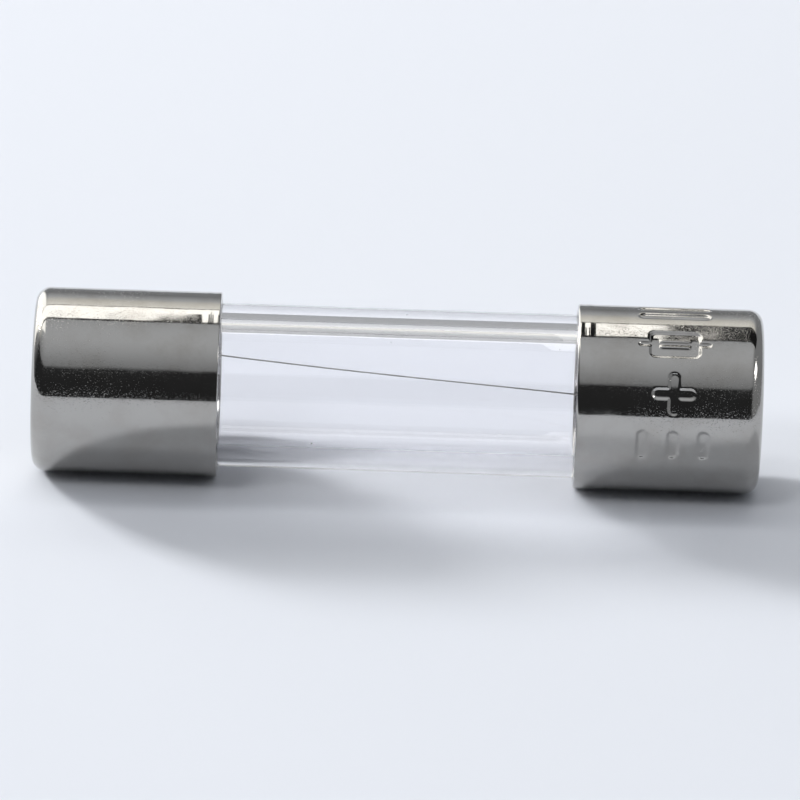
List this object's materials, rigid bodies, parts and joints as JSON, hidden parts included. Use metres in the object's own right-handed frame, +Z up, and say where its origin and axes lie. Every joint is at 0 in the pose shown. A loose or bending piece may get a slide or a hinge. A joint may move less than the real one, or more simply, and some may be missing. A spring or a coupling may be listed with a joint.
{
  "type": "cartridge fuse",
  "caption": "Miniature glass cartridge fuse, 5 x 20 mm: a glass tube with metal end caps and a thin fuse wire that melts on overload.",
  "frame": {"origin": "the middle of the fuse, on its axis", "axes": "+X along the fuse from the plain end cap to the stamped end cap, +Z up"},
  "size_m": [0.02, 0.0051, 0.005],
  "materials": {
    "clear_glass": "polished",
    "nickel_plated_brass": "polished",
    "tinned_wire": "satin",
    "solder": "satin"
  },
  "bodies": {
    "root": {"glass_tube": "clear_glass", "plain_end_cap": "nickel_plated_brass", "stamped_end_cap": "nickel_plated_brass", "fuse_wire": "tinned_wire", "left_solder_fill": "solder", "right_solder_fill": "solder"}
  },
  "joints": []
}
